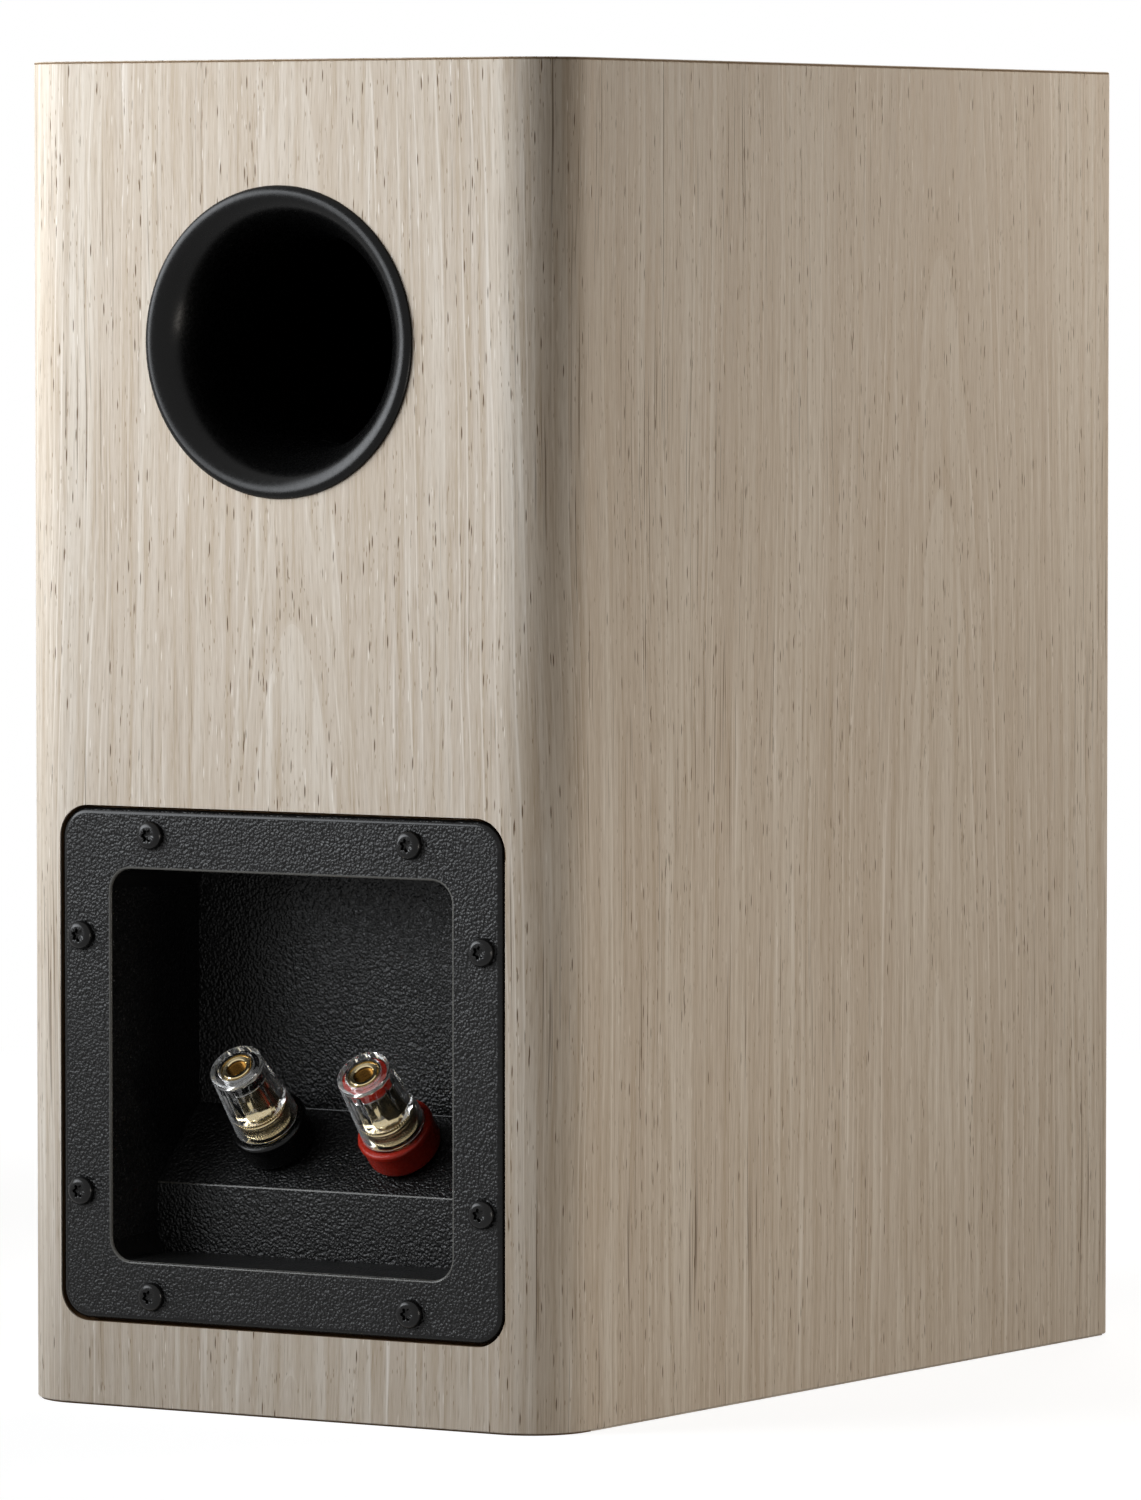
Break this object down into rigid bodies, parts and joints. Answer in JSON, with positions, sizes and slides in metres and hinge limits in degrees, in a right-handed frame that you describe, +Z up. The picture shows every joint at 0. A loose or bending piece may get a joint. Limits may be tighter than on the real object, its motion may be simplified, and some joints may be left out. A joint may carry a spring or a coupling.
{
  "type": "bookshelf speaker",
  "caption": "Two-way ported bookshelf loudspeaker: tapered veneered cabinet, rear reflex port, recessed terminal cup with screw-down binding posts, woofer and dome tweeter.",
  "frame": {"origin": "middle of the underside, on the surface that the speaker stands on", "axes": "+Z up; -Y out of the front baffle; +Y out of the rear, where the port and the terminals are"},
  "size_m": [0.2146, 0.3023, 0.38],
  "materials": {
    "oak_veneer": "bleached oak veneer, matt lacquer, vertical grain",
    "fibreboard": "raw medium density fibreboard",
    "damping_foam": "open-cell foam",
    "port_plastic": "satin moulded black plastic",
    "cup_plastic": "fine leather-grain moulded black plastic",
    "black_screw": "black oxide",
    "black_post_plastic": "moulded, semi-gloss",
    "red_post_plastic": "moulded, semi-gloss",
    "gilt_brass": "gold plated, machined",
    "bright_metal": "polished",
    "clear_plastic": "clear polycarbonate",
    "plated_steel": "zinc plated",
    "basket_casting": "cast, black powder coat",
    "surround_rubber": "matt",
    "cone_plastic": "moulded cone, satin",
    "coil_copper": "enamelled copper wire",
    "spider_cloth": "resin-dipped cloth",
    "ferrite": "sintered, matt",
    "faceplate_black": "satin",
    "dome_silk": "coated silk",
    "crossover_card": "hardboard",
    "capacitor_sleeve": "plastic sleeve",
    "resistor_ceramic": "white ceramic",
    "black_lead": "PVC sheath",
    "red_lead": "PVC sheath"
  },
  "bodies": {
    "cabinet": {"front_baffle": "oak_veneer", "bottom_board": "oak_veneer", "veneer_wrap": "oak_veneer", "top_veneer": "oak_veneer", "left_side_board": "fibreboard", "right_side_board": "fibreboard", "top_board": "fibreboard", "rear_board": "fibreboard", "window_brace": "fibreboard", "left_damping_foam": "damping_foam", "right_damping_foam": "damping_foam", "port_flare": "port_plastic", "port_tube": "port_plastic", "terminal_cup": "cup_plastic", "cup_screw_1": "black_screw", "cup_screw_2": "black_screw", "cup_screw_3": "black_screw", "cup_screw_4": "black_screw", "cup_screw_5": "black_screw", "cup_screw_6": "black_screw", "cup_screw_7": "black_screw", "cup_screw_8": "black_screw", "black_post_base": "black_post_plastic", "black_post_stud": "gilt_brass", "black_post_nut": "plated_steel", "red_post_base": "red_post_plastic", "red_post_stud": "gilt_brass", "red_post_nut": "plated_steel", "woofer_basket": "basket_casting", "woofer_surround": "surround_rubber", "woofer_inductor": "coil_copper", "tweeter_inductor": "coil_copper", "woofer_spider": "spider_cloth", "woofer_top_plate": "plated_steel", "woofer_yoke": "plated_steel", "woofer_magnet": "ferrite", "tweeter_motor": "ferrite", "tweeter_faceplate": "faceplate_black", "tweeter_surround": "dome_silk", "tweeter_chamber": "port_plastic", "crossover_board": "crossover_card", "crossover_capacitor": "capacitor_sleeve", "crossover_resistor": "resistor_ceramic", "black_input_lead": "black_lead", "woofer_lead": "black_lead", "tweeter_lead": "black_lead", "red_input_lead": "red_lead"},
    "black_washer": {"black_post_washer": "bright_metal"},
    "black_cap": {"black_post_cap": "clear_plastic", "black_post_insert": "gilt_brass", "black_post_marker": "black_post_plastic"},
    "red_washer": {"red_post_washer": "bright_metal"},
    "red_cap": {"red_post_cap": "clear_plastic", "red_post_insert": "gilt_brass", "red_post_marker": "red_post_plastic"},
    "woofer_cone_set": {"woofer_cone": "cone_plastic", "woofer_dust_cap": "cone_plastic", "woofer_voice_coil": "coil_copper"},
    "tweeter_dome_set": {"tweeter_dome": "dome_silk", "tweeter_voice_coil": "coil_copper"}
  },
  "joints": [
    {"name": "black_post_slide", "type": "slide", "parent": "cabinet", "child": "black_washer", "axis": [0, 0.7071, 0.7071], "range_m": [0, 0.005]},
    {"name": "black_post_turn", "type": "hinge", "parent": "black_washer", "child": "black_cap", "pos_m": [0.021, 0.11575, 0.07346], "axis": [0, 0.7071, 0.7071], "range_deg": [0, 1800]},
    {"name": "red_post_slide", "type": "slide", "parent": "cabinet", "child": "red_washer", "axis": [0, 0.7071, 0.7071], "range_m": [0, 0.005]},
    {"name": "red_post_turn", "type": "hinge", "parent": "red_washer", "child": "red_cap", "pos_m": [-0.021, 0.11575, 0.07346], "axis": [0, 0.7071, 0.7071], "range_deg": [0, 1800]},
    {"name": "woofer_travel", "type": "slide", "parent": "cabinet", "child": "woofer_cone_set", "axis": [0, -1, 0], "range_m": [-0.004, 0.004], "stiffness_N_per_m": 1200, "deforming": ["woofer_surround", "woofer_spider"]},
    {"name": "tweeter_travel", "type": "slide", "parent": "cabinet", "child": "tweeter_dome_set", "axis": [0, -1, 0], "range_m": [-0.0003, 0.0003], "stiffness_N_per_m": 2000, "deforming": ["tweeter_surround"]}
  ],
  "couplings": [
    {"joint": "black_post_turn", "follows": "black_post_slide", "rad_per_m": 6283},
    {"joint": "red_post_turn", "follows": "red_post_slide", "rad_per_m": 6283}
  ]
}
